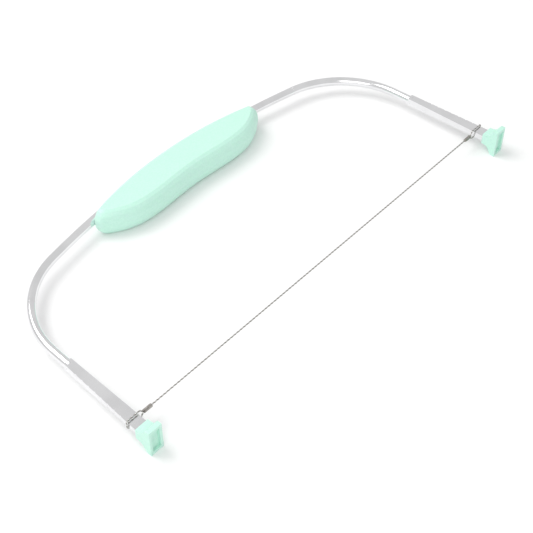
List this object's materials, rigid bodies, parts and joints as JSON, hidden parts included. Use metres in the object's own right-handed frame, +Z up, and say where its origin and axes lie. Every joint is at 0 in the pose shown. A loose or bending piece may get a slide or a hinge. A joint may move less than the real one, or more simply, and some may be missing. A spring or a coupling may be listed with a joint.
{
  "type": "cake leveler",
  "caption": "Hand-held bow for slicing cake layers level: chromed bow with pressed legs, moulded handle and feet, and a taut wire that slides on the legs.",
  "frame": {"origin": "middle of the object's footprint as it lies on its back, on the table", "axes": "+X along the wire from the left leg to the right leg, +Y from the feet to the handle, +Z up out of the numbered faces"},
  "size_m": [0.303, 0.1442, 0.018],
  "materials": {
    "chrome_bow": "polished plating",
    "mint_plastic": "satin moulded",
    "wire_steel": "twisted strand",
    "ferrule_steel": "crimped"
  },
  "bodies": {
    "frame": {"bow_frame": "chrome_bow", "handle_front_shell": "mint_plastic", "handle_back_shell": "mint_plastic", "left_foot": "mint_plastic", "right_foot": "mint_plastic"},
    "wire_set": {"cutting_wire": "wire_steel", "left_wire_loop": "wire_steel", "right_wire_loop": "wire_steel", "left_ferrule": "ferrule_steel", "right_ferrule": "ferrule_steel"}
  },
  "joints": [
    {"name": "wire_height", "type": "slide", "parent": "frame", "child": "wire_set", "axis": [0, 1, 0], "range_m": [0, 0.04]}
  ]
}
